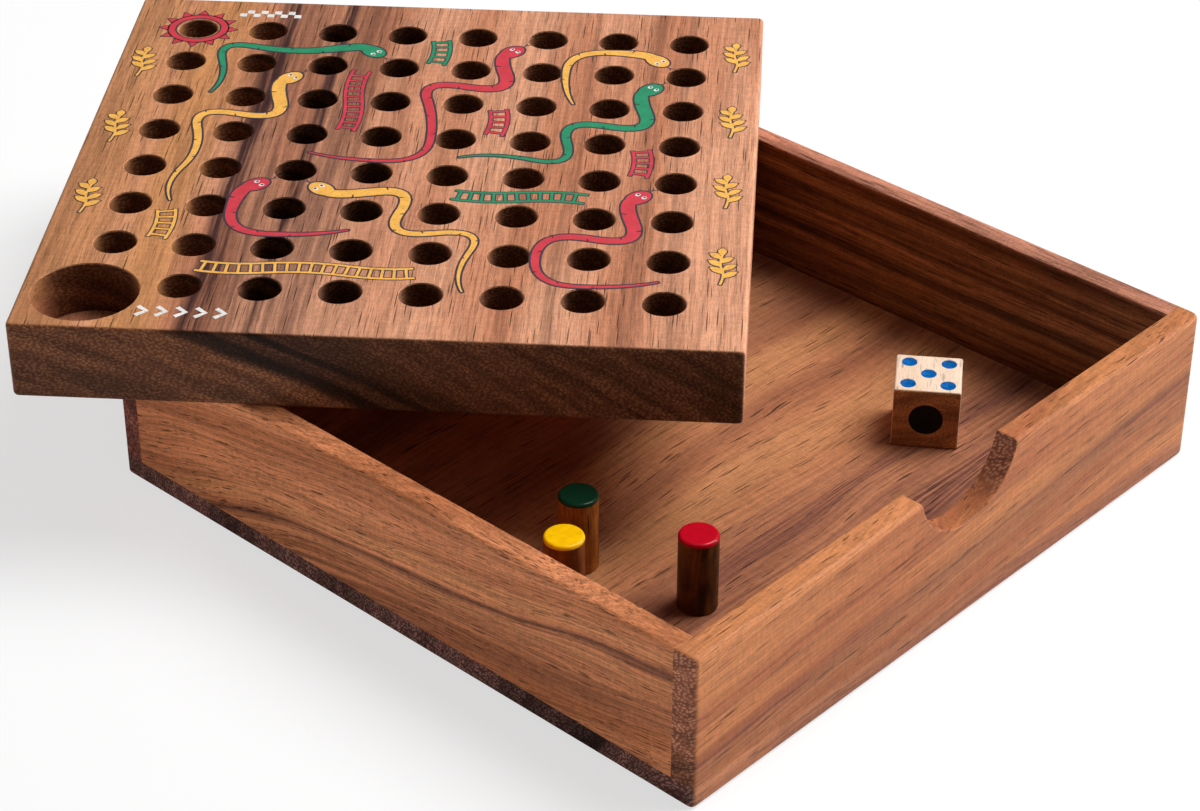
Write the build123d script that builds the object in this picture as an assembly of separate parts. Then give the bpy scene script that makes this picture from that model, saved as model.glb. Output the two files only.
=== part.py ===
"""A pegged snakes and ladders board lying askew on its open wooden box, with three pegs and a die inside.

The origin is the centre of the box's underside, +Z is up, and the wall with the finger notch faces -Y.
Sizes are in millimetres.
"""
import os
from math import isclose

from build123d import *

# The box: four walls glued on a full size bottom panel, its edges rounded by hand and unevenly
BOX_SIDE = 150.0
BOX_HEIGHT = 32.6
WALL = 5.0
BOTTOM = 4.7
LEFT_CORNER_ROUND = 1.2
RIGHT_CORNER_ROUND = 2.2
RIM_ROUND = 1.0
INNER_RIM_ROUND = 0.4
FOOT_ROUND = 1.0

# The finger notch: a round scoop through the front wall, its centre above the rim
NOTCH_RADIUS = 14.5
NOTCH_RISE = 3.3
NOTCH_X = 0.6
NOTCH_BREAK = 0.3

# The board: a loose lid for the box, here lying turned on three of the walls
LID_CLEARANCE = 1.5
BOARD_THICKNESS = 16.0
BOARD_X = -5.9
BOARD_Y = 61.4
BOARD_TURN = -51.05
BOARD_CORNER_ROUND = 1.2
BOARD_EDGE_ROUND = 0.8

# The peg holes: a square grid with a well for the start in place of its first hole
HOLES_A_SIDE = 8
HOLE_PITCH = 15.25
HOLE_SHIFT_X = -0.6
HOLE_SHIFT_Y = 0.7
HOLE_DEPTH = 10.5
WELL_DIAMETER = 20.5
WELL_INSET = 12.5
RIM_BREAK = 0.2

# The pegs: sawn rods, the top end dipped in enamel. Their places are from the inner faces of two walls
PEG_DIAMETER = 7.7
PEG_CLEARANCE = 0.7
PEG_HEIGHT = 15.5
PEG_EDGE = 0.25
CAP_THICKNESS = 0.8
CAP_EDGE = 0.6
RED_PEG_FROM_LEFT, RED_PEG_FROM_FRONT = 35.0, 29.1
YELLOW_PEG_FROM_LEFT, YELLOW_PEG_FROM_FRONT = 17.8, 46.7
GREEN_PEG_FROM_LEFT, GREEN_PEG_FROM_FRONT = 29.2, 53.8

# The die: hollows left by a drill's point for pips, with dished paint in them
DIE_SIDE = 13.3
DIE_EDGE = 0.5
DIE_FROM_RIGHT, DIE_FROM_FRONT = 30.1, 34.1
DIE_TURN = -54.2
PIP_DIAMETER = 3.3
PIP_DEPTH = 0.9
PIP_SPREAD = 3.95
BIG_PIP_DIAMETER = 7.1
BIG_PIP_DEPTH = 1.3
PAINT_BELOW_FACE = 0.05
PAINT_DISH = 0.4

# Sizes that follow from those above
BOARD_SIDE = BOX_SIDE - 2 * (WALL + LID_CLEARANCE)
HOLE_DIAMETER = PEG_DIAMETER + PEG_CLEARANCE
INNER_SIDE = BOX_SIDE - 2 * WALL
SPARE = 10.0

ON_TOP = (Align.CENTER, Align.CENTER, Align.MIN)
BELOW = (Align.CENTER, Align.CENTER, Align.MAX)


def block(low: tuple, high: tuple) -> Part:
    """A plain box between two opposite corners."""
    size = [b - a for a, b in zip(low, high)]
    middle = [(a + b) / 2 for a, b in zip(low, high)]
    return Pos(*middle) * Box(*size)


def edges_at_height(shape: Part, height: float) -> ShapeList:
    """The edges that lie flat at one height."""
    return shape.edges().filter_by_position(Axis.Z, height, height)


def on_outline(edge: Edge, half: float) -> bool:
    """Whether an edge runs along the outline of a square about the origin, its rounded corners counted."""
    place = edge.center()
    return abs(max(abs(place.X), abs(place.Y)) - half) < WALL / 4


def box_shell() -> Part:
    """The whole box as one shape with its edges rounded, ready to be parted into its panels."""
    half, inner = BOX_SIDE / 2, INNER_SIDE / 2
    shell = block((-half, -half, 0), (half, half, BOX_HEIGHT))
    for side, radius in ((0, LEFT_CORNER_ROUND), (-1, RIGHT_CORNER_ROUND)):
        uprights = shell.edges().filter_by(Axis.Z)
        shell = fillet(uprights.group_by(Axis.X)[side], radius)
    shell = fillet(edges_at_height(shell, 0), FOOT_ROUND)
    shell = fillet(edges_at_height(shell, BOX_HEIGHT), RIM_ROUND)
    shell -= block((-inner, -inner, BOTTOM), (inner, inner, BOX_HEIGHT + SPARE))
    mouth = [e for e in edges_at_height(shell, BOX_HEIGHT) if on_outline(e, inner)]
    return fillet(mouth, INNER_RIM_ROUND)


def notched(wall: Part) -> Part:
    """The front wall with the finger notch cut after rounding, so that only a hair of its edge is broken."""
    saw = Cylinder(NOTCH_RADIUS, 2 * WALL + SPARE, rotation=(90, 0, 0))
    wall -= Pos(NOTCH_X, -BOX_SIDE / 2, BOX_HEIGHT + NOTCH_RISE) * saw
    scoop = wall.faces().filter_by(lambda face: face.radius and isclose(face.radius, NOTCH_RADIUS))[0]
    return fillet(scoop.edges(), NOTCH_BREAK)


def box_panels() -> dict:
    """The five panels of the box. Front and back walls run full length, and the others fit between them."""
    half, inner, top = BOX_SIDE / 2, INNER_SIDE / 2, BOX_HEIGHT + SPARE
    shell = box_shell()
    stretches = {
        "bottom_panel": block((-half, -half, 0), (half, half, BOTTOM)),
        "front_wall": block((-half, -half, BOTTOM), (half, -inner, top)),
        "back_wall": block((-half, inner, BOTTOM), (half, half, top)),
        "left_wall": block((-half, -inner, BOTTOM), (-inner, inner, top)),
        "right_wall": block((inner, -inner, BOTTOM), (half, inner, top)),
    }
    panels = {name: shell & stretch for name, stretch in stretches.items()}
    panels["front_wall"] = notched(panels["front_wall"])
    return panels


def blind_hole(diameter: float, depth: float) -> Part:
    """The space of a flat-bottomed hole going down from the origin, its rim lightly broken."""
    hole = Cylinder(diameter / 2, depth, align=BELOW)
    rim = Cone(diameter / 2, diameter / 2 + RIM_BREAK, RIM_BREAK, align=BELOW)
    return hole + rim


def board_place() -> Location:
    """Where the board's own frame, at the middle of its underside, lies on the rim."""
    return Pos(BOARD_X, BOARD_Y, BOX_HEIGHT) * Rot(0, 0, BOARD_TURN)


def hole_centres() -> list:
    """The centres of the small holes in the board's own frame. The first place of the grid is the well's."""
    first = -(HOLES_A_SIDE - 1) / 2
    places = [(column, row) for row in range(HOLES_A_SIDE) for column in range(HOLES_A_SIDE)]
    return [
        (HOLE_SHIFT_X + (first + column) * HOLE_PITCH, HOLE_SHIFT_Y + (first + row) * HOLE_PITCH)
        for column, row in places[1:]
    ]


def board() -> Part:
    """The thick board with its start well and peg holes, which do not go through."""
    slab = Box(BOARD_SIDE, BOARD_SIDE, BOARD_THICKNESS, align=ON_TOP)
    slab = fillet(slab.edges().filter_by(Axis.Z), BOARD_CORNER_ROUND)
    slab = fillet(edges_at_height(slab, 0) + edges_at_height(slab, BOARD_THICKNESS), BOARD_EDGE_ROUND)
    well_place = -BOARD_SIDE / 2 + WELL_INSET
    holes = [Pos(x, y, BOARD_THICKNESS) * blind_hole(HOLE_DIAMETER, HOLE_DEPTH) for x, y in hole_centres()]
    well = Pos(well_place, well_place, BOARD_THICKNESS) * blind_hole(WELL_DIAMETER, HOLE_DEPTH)
    return board_place() * (slab - [well, *holes])


def peg() -> Part:
    """The wooden rod of a peg, standing on the origin, with the edge of its foot taken off."""
    rod = Cylinder(PEG_DIAMETER / 2, PEG_HEIGHT, align=ON_TOP)
    return chamfer(edges_at_height(rod, 0), PEG_EDGE)


def peg_cap() -> Part:
    """The coat of enamel over a peg's top end, with a rounded edge."""
    coat = Pos(0, 0, PEG_HEIGHT) * Cylinder(PEG_DIAMETER / 2, CAP_THICKNESS, align=ON_TOP)
    return fillet(edges_at_height(coat, PEG_HEIGHT + CAP_THICKNESS), CAP_EDGE)


def pegs() -> dict:
    """The three pegs and their caps, standing on the floor of the box."""
    places = {
        "red": (RED_PEG_FROM_LEFT, RED_PEG_FROM_FRONT),
        "yellow": (YELLOW_PEG_FROM_LEFT, YELLOW_PEG_FROM_FRONT),
        "green": (GREEN_PEG_FROM_LEFT, GREEN_PEG_FROM_FRONT),
    }
    pieces = {}
    for colour, (from_left, from_front) in places.items():
        place = Pos(from_left - INNER_SIDE / 2, from_front - INNER_SIDE / 2, BOTTOM)
        pieces[f"{colour}_peg"] = place * peg()
        pieces[f"{colour}_peg_cap"] = place * peg_cap()
    return pieces


def pip_places(count: int) -> list:
    """The places of one to six pips on a face of the die, about the face's middle."""
    far = PIP_SPREAD
    corners = [(-far, -far), (far, far), (-far, far), (far, -far)]
    sides = [(-far, 0), (far, 0)]
    if count == 6:
        return corners + sides
    pairs = corners[: count - count % 2]
    return pairs + [(0, 0)] * (count % 2)


def pip_hollow(diameter: float, depth: float) -> Part:
    """The space that a drill's point leaves below the origin."""
    return Cone(0, diameter / 2, depth, align=BELOW)


def pip_paint(diameter: float, depth: float) -> Part:
    """The paint in a pip: it fills the hollow almost to the face and is dished where it dried."""
    surface = diameter * (1 - PAINT_BELOW_FACE / depth)
    filling = pip_hollow(surface, depth - PAINT_BELOW_FACE) - pip_hollow(surface, PAINT_DISH)
    return Pos(0, 0, -PAINT_BELOW_FACE) * filling


def die_faces() -> dict:
    """The placing of each face of the die about its centre, by its number. Opposite faces add up to seven."""
    half = DIE_SIDE / 2
    return {
        5: Pos(0, 0, half),
        2: Pos(0, 0, -half) * Rot(180, 0, 0),
        1: Pos(0, -half, 0) * Rot(90, 0, 0),
        6: Pos(0, half, 0) * Rot(-90, 0, 0),
        4: Pos(half, 0, 0) * Rot(0, 90, 0),
        3: Pos(-half, 0, 0) * Rot(0, -90, 0),
    }


def die() -> dict:
    """The die with its pips, and the paint in them: one big black pip and twenty blue ones."""
    cube = fillet(Box(DIE_SIDE, DIE_SIDE, DIE_SIDE).edges(), DIE_EDGE)
    blue, black = (PIP_DIAMETER, PIP_DEPTH), (BIG_PIP_DIAMETER, BIG_PIP_DEPTH)
    hollows, paint = [], {"die_blue_pips": [], "die_black_pip": []}
    for number, face in die_faces().items():
        name, size = ("die_black_pip", black) if number == 1 else ("die_blue_pips", blue)
        for x, y in pip_places(number):
            hollows.append(face * Pos(x, y, 0) * pip_hollow(*size))
            paint[name].append(face * Pos(x, y, 0) * pip_paint(*size))
    place = Pos(INNER_SIDE / 2 - DIE_FROM_RIGHT, DIE_FROM_FRONT - INNER_SIDE / 2, BOTTOM + DIE_SIDE / 2)
    place *= Rot(0, 0, DIE_TURN)
    pieces = {"die": place * (cube - hollows)}
    for name, fillings in paint.items():
        pieces[name] = Compound(children=[place * filling for filling in fillings])
    return pieces


os.makedirs("parts", exist_ok=True)
for name, shape in {**box_panels(), "board": board(), **pegs(), **die()}.items():
    export_step(shape, f"parts/{name}.step")
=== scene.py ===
"""Looks of a pegged snakes and ladders board that lies askew on its open wooden box.

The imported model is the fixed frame: origin at the centre of the box's underside, +Z up, the wall with the
finger notch facing -Y, metres throughout. This script dresses its pieces, prints the game on the board and
sets up the studio.
"""
import logging
from dataclasses import dataclass, field
from enum import Enum
from math import pi, radians, sin, tau

import bmesh
import bpy
from bpy.types import Material, Node, NodeSocket, NodeTree
from mathutils import Matrix, Vector


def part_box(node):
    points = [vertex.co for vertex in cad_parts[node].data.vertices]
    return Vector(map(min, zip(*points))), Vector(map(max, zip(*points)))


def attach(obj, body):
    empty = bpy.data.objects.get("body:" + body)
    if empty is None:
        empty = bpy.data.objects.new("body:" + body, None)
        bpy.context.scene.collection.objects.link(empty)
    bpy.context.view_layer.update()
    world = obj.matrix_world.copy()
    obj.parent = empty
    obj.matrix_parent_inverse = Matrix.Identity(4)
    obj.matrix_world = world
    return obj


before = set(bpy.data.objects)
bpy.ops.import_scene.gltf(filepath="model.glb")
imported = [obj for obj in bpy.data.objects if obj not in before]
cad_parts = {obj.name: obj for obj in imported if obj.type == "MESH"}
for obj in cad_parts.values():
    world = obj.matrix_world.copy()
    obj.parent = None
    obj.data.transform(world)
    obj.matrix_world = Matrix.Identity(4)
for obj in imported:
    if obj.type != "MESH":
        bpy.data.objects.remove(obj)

log = logging.getLogger("board_game")

MM = 0.001
PER_MM = 1 / MM

# Heights of the coats of ink over the wood in millimetres. What overlaps is laid a stack's height apart
DARK_LIFT, COLOUR_LIFT, WHITE_LIFT, DETAIL_LIFT = 0.02, 0.035, 0.05, 0.06
STACK = 0.004
UNDER_SURFACE = 0.01

# Settings that many nodes share, and the sockets of a Mix node that mixes colours
TIMES, PLUS, MINUS = {"operation": "MULTIPLY"}, {"operation": "ADD"}, {"operation": "SUBTRACT"}
TIMES_PLUS, LARGER = {"operation": "MULTIPLY_ADD"}, {"operation": "MAXIMUM"}
SIZE_OF, LENGTH = {"operation": "ABSOLUTE"}, {"operation": "LENGTH"}
SCALED, SMOOTH, COLOUR = {"operation": "SCALE"}, {"interpolation_type": "SMOOTHSTEP"}, {"data_type": "RGBA"}
MIX_A, MIX_B, MIX_OUT = 6, 7, 2

# Where nearly all of a noise lies
NOISE_LOW, NOISE_HIGH = 0.3, 0.7

# What an input of a node can take, and two and three numbers
Source = Node | NodeSocket | float
Pair, Triple = tuple[float, float], tuple[float, float, float]


def hex_colour(text: str) -> tuple[float, float, float, float]:
    """Turns an sRGB hex colour into a linear one.

    Args:
        text: six hex digits.

    Returns:
        Linear red, green, blue and an alpha of 1.
    """
    channels = [int(text[i : i + 2], 16) / 255 for i in (0, 2, 4)]
    linear = [c / 12.92 if c <= 0.04045 else ((c + 0.055) / 1.055) ** 2.4 for c in channels]
    return (*linear, 1.0)


def add_node(tree: NodeTree, kind: str, settings: dict | None = None, inputs: dict | tuple = ()) -> Node:
    """Adds a shader node with its settings, and sets or links its inputs.

    Args:
        tree: the node tree that takes the node.
        kind: the node's type, as Blender names it after ShaderNode.
        settings: attributes of the node to set.
        inputs: a value, an output socket or a node, which stands for its first output, for each input by name
            or number, or for the first inputs in order.

    Returns:
        The new node.
    """
    node = tree.nodes.new("ShaderNode" + kind)
    for key, value in (settings or {}).items():
        setattr(node, key, value)
    for key, value in inputs.items() if isinstance(inputs, dict) else enumerate(inputs):
        if isinstance(value, Node):
            value = value.outputs[0]
        if isinstance(value, NodeSocket):
            tree.links.new(value, node.inputs[key])
        else:
            node.inputs[key].default_value = value
    return node


def new_material(name: str) -> tuple[Material, NodeTree]:
    """Makes an empty node material.

    Args:
        name: the material's name.

    Returns:
        The material and its node tree.
    """
    material = bpy.data.materials.new(name)
    material.use_nodes = True
    material.node_tree.nodes.clear()
    return material, material.node_tree


def mottled(tree: NodeTree, place: Source, colour: str, per_mm: float, tones: Pair) -> tuple[Node, Node]:
    """Varies a coat's colour softly, as where paint or ink flowed thinner and thicker.

    Args:
        tree: the material's node tree.
        place: the Object coordinates.
        colour: the coat's colour in hex digits.
        per_mm: how many changes there are in a millimetre.
        tones: its darkest and lightest tone, where 1 is the plain colour.

    Returns:
        The node that gives the flow, about 0.5, and the one that gives the colour.
    """
    flow = add_node(tree, "TexNoise", {}, {"Vector": place, "Scale": per_mm * PER_MM, "Detail": 2.0})
    tone = add_node(tree, "MapRange", {}, (flow, NOISE_LOW, NOISE_HIGH, *tones))
    return flow, add_node(tree, "VectorMath", SCALED, {0: hex_colour(colour)[:3], "Scale": tone})


def dress(piece: bpy.types.Object, material: Material) -> None:
    """Gives a piece one material all over.

    Args:
        piece: the object to dress.
        material: what it is made of.
    """
    piece.data.materials.clear()
    piece.data.materials.append(material)


class RowAxis(Enum):
    """A direction of the row frame that grain can run along."""

    ALONG_X = (1.0, 0.0, 0.0)
    ALONG_Y = (0.0, 1.0, 0.0)
    UPRIGHT = (0.0, 0.0, 1.0)


class Pattern(Enum):
    """The random patterns of wood: how often each changes in a millimetre, and how many finer layers it has.

    The three numbers run across the rings, along them and along the grain, or along the piece's own axes.
    Real fibres are a fiftieth of a millimetre wide. They are drawn in bundles 0.3 mm wide, so that they show.
    """

    WANDER = ((1 / 30, 1 / 30, 1 / 130), 2.0)
    GROWTH_LINES = ((2.2, 0.3, 0.028), 2.0)
    FIBRES = ((3.4, 2.0, 0.11), 2.0)
    GRIT = ((4.5, 4.5, 1.5), 1.0)
    RIPPLE = ((0.3, 0.3, 1.2), 1.0)
    RAGGED_STREAKS = ((2.0, 0.3, 0.02), 3.0)
    PORE_CHAINS = ((0.5, 0.3, 0.02), 2.0)
    END_RINGS = ((0.4, 0.04, 0.0), 3.0)
    END_PATCHES = ((0.5, 0.3, 0.0), 2.0)


@dataclass(frozen=True)
class Streak:
    """A soft band of another colour along the grain: its place and width across the rings, and its depth."""

    place_mm: float
    width_mm: float
    depth: float


@dataclass(frozen=True)
class PaintedBoreShade:
    """Painted shade in the drilled holes of a board: their wood is darkened from just under the top face to
    near their floors.
    """

    placing: Matrix
    half_mm: float = 66.0
    top_mm: float = -0.25
    bottom_mm: float = -11.5
    painted_shade: float = 0.15

    def shade(self, tree: NodeTree, place: Source) -> Node:
        """How light the painted shade leaves the wood, 1 outside the bores.

        Args:
            tree: the material's node tree.
            place: the Object coordinates.

        Returns:
            The node that gives the factor.
        """
        back = self.placing.inverted()
        turned = (place, back.to_translation(), back.to_euler("XYZ"), back.to_scale())
        own = add_node(tree, "Mapping", {}, turned)
        x, y, z = add_node(tree, "SeparateXYZ", {}, (own,)).outputs
        limits = (
            ("LESS_THAN", add_node(tree, "Math", SIZE_OF, (x,)), self.half_mm),
            ("LESS_THAN", add_node(tree, "Math", SIZE_OF, (y,)), self.half_mm),
            ("LESS_THAN", z, self.top_mm),
            ("GREATER_THAN", z, self.bottom_mm),
        )
        inside = 1.0
        for operation, distance, limit in limits:
            within = add_node(tree, "Math", {"operation": operation}, (distance, limit))
            inside = add_node(tree, "Math", TIMES, (within, inside))
        return add_node(tree, "Math", TIMES_PLUS, (inside, -self.painted_shade, 1.0))


@dataclass(frozen=True)
class WoodFinish:
    """Rain tree wood, planed, sanded and given a thin satin lacquer.

    It gives the eye a warm orange brown with purple-brown streaks, short dark pores and dark end grain full
    of fine pale flecks. The pattern is solid, drawn about a far pith: each face shows what a saw would find.
    """

    name: str
    light: str
    mid: str
    dark: str
    grain: Vector
    across: Vector
    centre_mm: Vector
    streaks: tuple[Streak, ...] = ()
    pale: str = "dc9c66"
    # Paler bands of wood, and on the front and right walls painted light on their top faces
    pale_and_lit_zones: tuple[Streak, ...] = ()
    end_dark: str = "68352e"
    end_fleck: str = "b07460"
    end_spread: float = 1.2
    end_pale: float = 0.1
    pith_mm: float = 120.0
    wander_mm: float = 3.5
    tone_mm: float = 7.0
    tone_length_mm: float = 120.0
    contrast: float = 0.17
    ripple: float = 0.05
    pore_gap_mm: float = 0.6
    pore_length_mm: float = 13.0
    pore_depth: float = 0.8
    short_pores: float = 0.4
    fleck_gap_mm: float = 0.5
    roughness: float = 0.46
    seed_mm: float = 0.0
    painted_bore_shade: PaintedBoreShade | None = None

    def material(self) -> Material:
        """Builds the node material.

        Returns:
            The material.
        """
        material, tree = new_material(self.name)
        grain = self.grain.normalized()
        across = (self.across - grain * self.across.dot(grain)).normalized()
        turn = Matrix((across, grain.cross(across), grain))
        shift = Vector((0, 0, self.seed_mm)) - turn @ self.centre_mm
        coords = add_node(tree, "TexCoord")
        own = coords.outputs["Object"]
        place = add_node(tree, "Mapping", {}, (own, shift, turn.to_euler("XYZ"), (PER_MM,) * 3))
        sheet = self._sheet(tree, place)
        ring = add_node(tree, "SeparateXYZ", {}, (sheet,)).outputs[0]
        fibre = self._noise(tree, sheet, *Pattern.FIBRES.value)
        timber = self._timber_colour(tree, place, sheet, ring, fibre)
        pore = self._pore_share(tree, sheet)
        hollow = add_node(tree, "VectorMath", SCALED, {0: timber, "Scale": 1 - self.pore_depth})
        timber = add_node(tree, "Mix", COLOUR, {0: pore, MIX_A: timber, MIX_B: hollow}).outputs[MIX_OUT]
        share = self._end_share(tree, coords.outputs["Normal"], grain)
        end = self._end_colour(tree, sheet, ring)
        timber = add_node(tree, "Mix", COLOUR, {0: share, MIX_A: timber, MIX_B: end}).outputs[MIX_OUT]
        # Painted shade darkens the wood inside the drilled holes
        if self.painted_bore_shade:
            timber = add_node(tree, "VectorMath", SCALED, {0: timber, "Scale": self.painted_bore_shade.shade(tree, own)})
        self._surface(tree, timber, fibre, pore)
        return material

    def _sheet(self, tree: NodeTree, place: Source) -> Node:
        """Measures the place in the timber across the wandering rings, along them and along the grain.

        Args:
            tree: the material's node tree.
            place: the place in millimetres, its third axis along the grain.

        Returns:
            The node that gives the three distances in millimetres.
        """
        wander = self._noise(tree, place, *Pattern.WANDER.value)
        least, most = -self.wander_mm - self.pith_mm, self.wander_mm - self.pith_mm
        swing = add_node(tree, "MapRange", {"clamp": False}, (wander, NOISE_LOW, NOISE_HIGH, least, most))
        flat = add_node(tree, "VectorMath", TIMES_PLUS, (place, (1.0, 1.0, 0.0), (self.pith_mm, 0.0, 0.0)))
        radius = add_node(tree, "VectorMath", LENGTH, (flat,)).outputs["Value"]
        ring = add_node(tree, "Math", PLUS, (radius, swing))
        split = add_node(tree, "SeparateXYZ", {}, (place,))
        return add_node(tree, "CombineXYZ", {}, (ring, split.outputs[1], split.outputs[2]))

    def _noise(self, tree: NodeTree, place: Source, per_mm: Triple, detail: float) -> Node:
        """Draws out a soft random tone along its axes.

        Args:
            tree: the material's node tree.
            place: the place in millimetres.
            per_mm: how many changes there are in a millimetre, along each axis.
            detail: how many finer layers it has.

        Returns:
            The node that gives a value about 0.5.
        """
        drawn = add_node(tree, "Mapping", {}, {"Vector": place, "Scale": per_mm})
        layers = {"Vector": drawn, "Scale": 1.0, "Detail": detail, "Roughness": 0.6}
        return add_node(tree, "TexNoise", {}, layers)

    def _band_share(
        self, tree: NodeTree, ring: Source, bands: tuple[Streak, ...], spread: float = 1.0
    ) -> Source:
        """The share of the deepest of some soft bands at a ring distance.

        Args:
            tree: the material's node tree.
            ring: the distance across the rings in millimetres.
            bands: the bands, each full at its middle and gone past 0.7 of its width.
            spread: how much wider each is made.

        Returns:
            The share, from 0 to the deepest band's depth.
        """
        share = 0.0
        for band in bands:
            width = band.width_mm * spread
            away = add_node(tree, "Math", MINUS, (ring, band.place_mm))
            away = add_node(tree, "Math", SIZE_OF, (away,))
            depth = add_node(tree, "MapRange", SMOOTH, (away, 0.15 * width, 0.7 * width, band.depth, 0.0))
            share = add_node(tree, "Math", LARGER, (depth, share))
        return share

    def _timber_colour(
        self, tree: NodeTree, place: Source, sheet: Source, ring: Source, fibre: Source
    ) -> Node:
        """The wood's colour on a face cut along the grain, before its pores.

        Args:
            tree: the material's node tree.
            place: the place in millimetres.
            sheet: the place measured across and along the rings.
            ring: the distance across the rings.
            fibre: the fibres.

        Returns:
            The node that gives the colour.
        """
        zones = self._noise(tree, sheet, (1 / self.tone_mm, 1 / 50, 1 / self.tone_length_mm), 1.5)
        zone = add_node(tree, "MapRange", SMOOTH, (zones, 0.34, 0.66))
        ragged = self._noise(tree, sheet, *Pattern.RAGGED_STREAKS.value)
        ragged = add_node(tree, "MapRange", SMOOTH, (ragged, 0.36, 0.62, 0.45, 1.0))
        streak = add_node(tree, "Math", TIMES, (ragged, self._band_share(tree, ring, self.streaks)))
        base = hex_colour(self.light)
        pale = self._band_share(tree, ring, self.pale_and_lit_zones)
        for share, colour in ((zone, self.mid), (pale, self.pale), (streak, self.dark)):
            mixed = add_node(tree, "Mix", COLOUR, {0: share, MIX_A: base, MIX_B: hex_colour(colour)})
            base = mixed.outputs[MIX_OUT]
        grit = self._noise(tree, place, *Pattern.GRIT.value)
        lines = add_node(tree, "Math", PLUS, (self._noise(tree, sheet, *Pattern.GROWTH_LINES.value), fibre))
        total = add_node(tree, "Math", TIMES_PLUS, (grit, 0.5, lines))
        darkest, lightest = 1 - 1.3 * self.contrast, 1 + self.contrast
        shade = add_node(tree, "MapRange", SMOOTH, (total, 1.0, 1.5, darkest, lightest))
        hair = add_node(tree, "MapRange", SMOOTH, (fibre, 0.58, 0.7, 1.0, 0.7))
        wave = self._noise(tree, place, *Pattern.RIPPLE.value)
        ripple = add_node(tree, "MapRange", SMOOTH, (wave, 0.35, 0.65, 1 - self.ripple, 1 + self.ripple))
        shade = add_node(tree, "Math", TIMES, (shade, add_node(tree, "Math", TIMES, (hair, ripple))))
        return add_node(tree, "VectorMath", SCALED, {0: base, "Scale": shade})

    def _pore_share(self, tree: NodeTree, sheet: Source) -> Node:
        """The share of open pore: long dashes a fifth of a millimetre wide, in chains, and faint short ones.

        Args:
            tree: the material's node tree.
            sheet: the place measured across and along the rings.

        Returns:
            The node that gives the share, 1 in a pore.
        """
        chain = self._noise(tree, sheet, *Pattern.PORE_CHAINS.value)
        chain = add_node(tree, "MapRange", SMOOTH, (chain, 0.36, 0.56, 0.25, 1.0))
        long = self._dashes(tree, sheet, self.pore_gap_mm, self.pore_length_mm)
        short = self._dashes(tree, sheet, 0.7 * self.pore_gap_mm, 0.4 * self.pore_length_mm)
        long = add_node(tree, "Math", TIMES, (long, chain))
        short = add_node(tree, "Math", TIMES, (short, self.short_pores))
        return add_node(tree, "Math", LARGER, (long, short))

    def _dashes(self, tree: NodeTree, sheet: Source, gap_mm: float, length_mm: float) -> Node:
        """Scatters thin dashes along the grain.

        Args:
            tree: the material's node tree.
            sheet: the place measured across and along the rings.
            gap_mm: about how far they are apart.
            length_mm: about how long they are.

        Returns:
            The node that gives 1 in a dash and 0 between them.
        """
        scales = (1 / gap_mm, 1 / gap_mm, 1 / length_mm)
        drawn = add_node(tree, "Mapping", {}, {"Vector": sheet, "Scale": scales})
        away = add_node(tree, "TexVoronoi", {}, {"Vector": drawn, "Scale": 1.0}).outputs["Distance"]
        return add_node(tree, "MapRange", SMOOTH, (away, 0.15, 0.26, 1.0, 0.0))

    def _end_share(self, tree: NodeTree, normal: Source, grain: Vector) -> Node:
        """The share of end grain: 1 where the surface cuts the grain squarely, 0 where it runs along it.

        Args:
            tree: the material's node tree.
            normal: the surface's normal in the object's own axes.
            grain: the direction of the grain.

        Returns:
            The node that gives the share.
        """
        facing = add_node(tree, "VectorMath", {"operation": "DOT_PRODUCT"}, (normal, grain)).outputs["Value"]
        return add_node(tree, "MapRange", SMOOTH, (add_node(tree, "Math", SIZE_OF, (facing,)), 0.25, 0.8))

    def _end_colour(self, tree: NodeTree, sheet: Source, ring: Source) -> Node:
        """End grain, darkened by the lacquer that it soaked up, with a pale fleck round each pore.

        Args:
            tree: the material's node tree.
            sheet: the place measured across and along the rings.
            ring: the distance across the rings.

        Returns:
            The node that gives the colour.
        """
        rings = self._noise(tree, sheet, *Pattern.END_RINGS.value)
        rings = add_node(tree, "MapRange", SMOOTH, (rings, 0.36, 0.64, 0.72, 1.25))
        streak = self._band_share(tree, ring, self.streaks, self.end_spread)
        pale = self._band_share(tree, ring, self.pale_and_lit_zones)
        darkened = add_node(tree, "Math", TIMES_PLUS, (streak, -0.8, 1.0))
        shade = add_node(tree, "Math", TIMES, (rings, darkened))
        spared = add_node(tree, "Math", TIMES_PLUS, (pale, self.end_pale, 1.0))
        shade = add_node(tree, "Math", TIMES, (shade, spared))
        gap = 1 / self.fleck_gap_mm
        drawn = add_node(tree, "Mapping", {}, {"Vector": sheet, "Scale": (gap, 0.6 * gap, 0.0)})
        cells = {"Vector": drawn, "Scale": 1.0, "Randomness": 0.85}
        away = add_node(tree, "TexVoronoi", {"voronoi_dimensions": "2D"}, cells).outputs["Distance"]
        fleck = add_node(tree, "MapRange", SMOOTH, (away, 0.1, 0.55, 0.9, 0.0))
        patchy = self._noise(tree, sheet, *Pattern.END_PATCHES.value)
        patchy = add_node(tree, "MapRange", SMOOTH, (patchy, 0.35, 0.6, 0.35, 1.0))
        fleck = add_node(tree, "Math", TIMES, (fleck, patchy))
        colours = {MIX_A: hex_colour(self.end_dark), MIX_B: hex_colour(self.end_fleck)}
        colour = add_node(tree, "Mix", COLOUR, {0: fleck, **colours}).outputs[MIX_OUT]
        return add_node(tree, "VectorMath", SCALED, {0: colour, "Scale": shade})

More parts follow.
